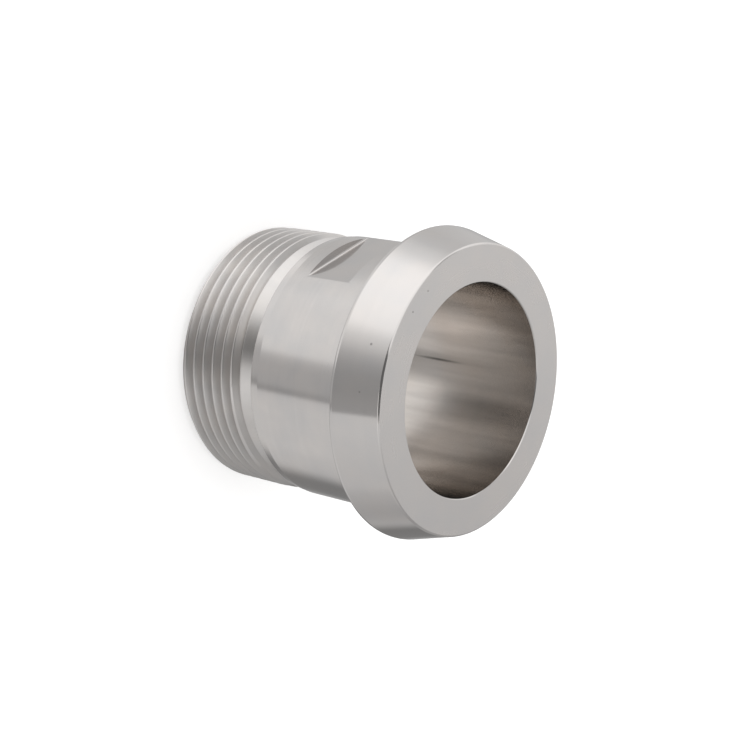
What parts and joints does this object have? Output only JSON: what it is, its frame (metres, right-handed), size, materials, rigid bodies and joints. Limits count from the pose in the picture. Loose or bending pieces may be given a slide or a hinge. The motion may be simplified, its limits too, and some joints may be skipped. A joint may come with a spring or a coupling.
{
  "type": "sanitary liner adapter",
  "caption": "Turned stainless adapter: coned union liner collar with a flat face on one end, plain neck with wrench flats, male parallel pipe thread on the other, straight through bore.",
  "frame": {"origin": "centre of the thread end face, which the fitting stands on", "axes": "+Z runs along the bore towards the liner face; the two wrench flats face -Y and +Y"},
  "size_m": [0.056, 0.056, 0.049],
  "materials": {
    "stainless_steel": "fine turned stainless steel, satin liner face, milled wrench flats"
  },
  "bodies": {
    "root": {"liner_adapter": "stainless_steel"}
  },
  "joints": []
}
